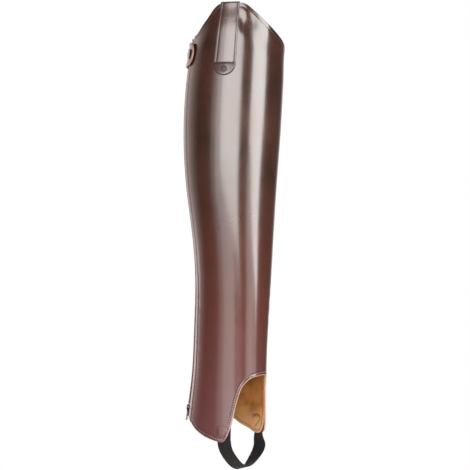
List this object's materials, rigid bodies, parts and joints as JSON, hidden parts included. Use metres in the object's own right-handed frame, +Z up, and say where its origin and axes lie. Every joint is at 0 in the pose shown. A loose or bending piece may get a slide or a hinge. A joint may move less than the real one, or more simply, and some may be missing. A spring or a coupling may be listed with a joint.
{
  "type": "half chap",
  "caption": "Right leg half chap in smooth lined leather, hollow in its worn shape, with a rear zip, a snap tab, a folded top strap and an elastic foot loop.",
  "frame": {"origin": "on the leg's axis at the height of the fullest calf, where the wearer's leg holds the half chap", "axes": "+Z up the leg, +X towards the toe, +Y towards the inner side of the right leg"},
  "size_m": [0.1182, 0.1099, 0.5274],
  "materials": {
    "burgundy_leather": "polished smooth",
    "tan_leather": "matt",
    "zip_tape": "woven",
    "zip_teeth": "moulded",
    "zip_metal": "dark satin",
    "snap_metal": "black gloss",
    "stud_metal": "antique brown",
    "elastic": "woven elastic"
  },
  "bodies": {
    "chap": {"leg_panel": "burgundy_leather", "leg_lining": "tan_leather", "zip_tape_outer": "zip_tape", "zip_tape_inner": "zip_tape", "zip_chain": "zip_teeth", "zip_slider": "zip_metal", "snap_tab": "burgundy_leather", "snap_cap": "snap_metal", "snap_base": "snap_metal", "side_strap": "burgundy_leather", "strap_stud": "stud_metal", "foot_elastic": "elastic"},
    "pull": {"zip_pull": "zip_metal"}
  },
  "joints": [
    {"name": "pull_swing", "type": "hinge", "parent": "chap", "child": "pull", "pos_m": [-0.04368, -0.02544, -0.31258], "axis": [-0.7144, 0.6934, 0.0939], "range_deg": [0, 150]}
  ]
}
